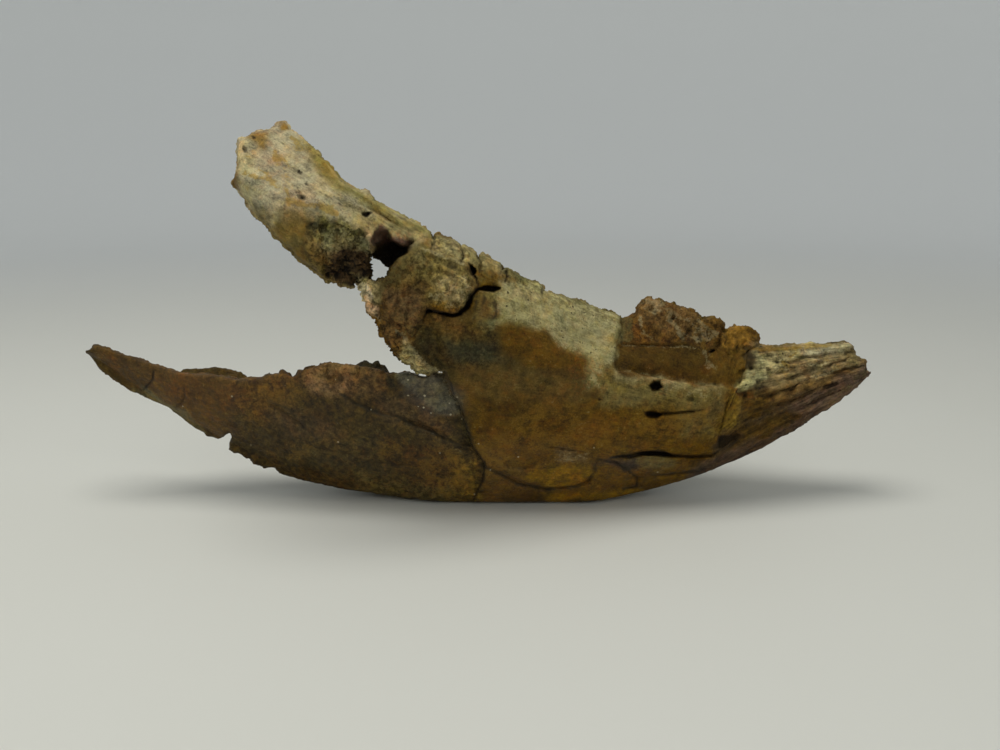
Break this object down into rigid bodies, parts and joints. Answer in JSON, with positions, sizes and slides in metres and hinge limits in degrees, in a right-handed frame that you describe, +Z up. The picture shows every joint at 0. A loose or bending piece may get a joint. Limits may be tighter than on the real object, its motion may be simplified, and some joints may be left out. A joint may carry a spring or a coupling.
{
  "type": "fossil dinosaur beak",
  "caption": "Weathered fossil beak bone of a horned dinosaur: pointed hollow tip, long keeled process behind and one raised side wing.",
  "frame": {"origin": "middle of the small worn flat on the keel, on which the bone rests", "axes": "+X towards the beak's tip, +Z up, -Y towards the side that keeps its wing; y = 0 is the bone's own middle plane"},
  "size_m": [0.4068, 0.1379, 0.1908],
  "materials": {
    "bone": "weathered mineralised bone, brown with cream and ochre areas"
  },
  "bodies": {
    "root": {"beak_bone": "bone"}
  },
  "joints": []
}
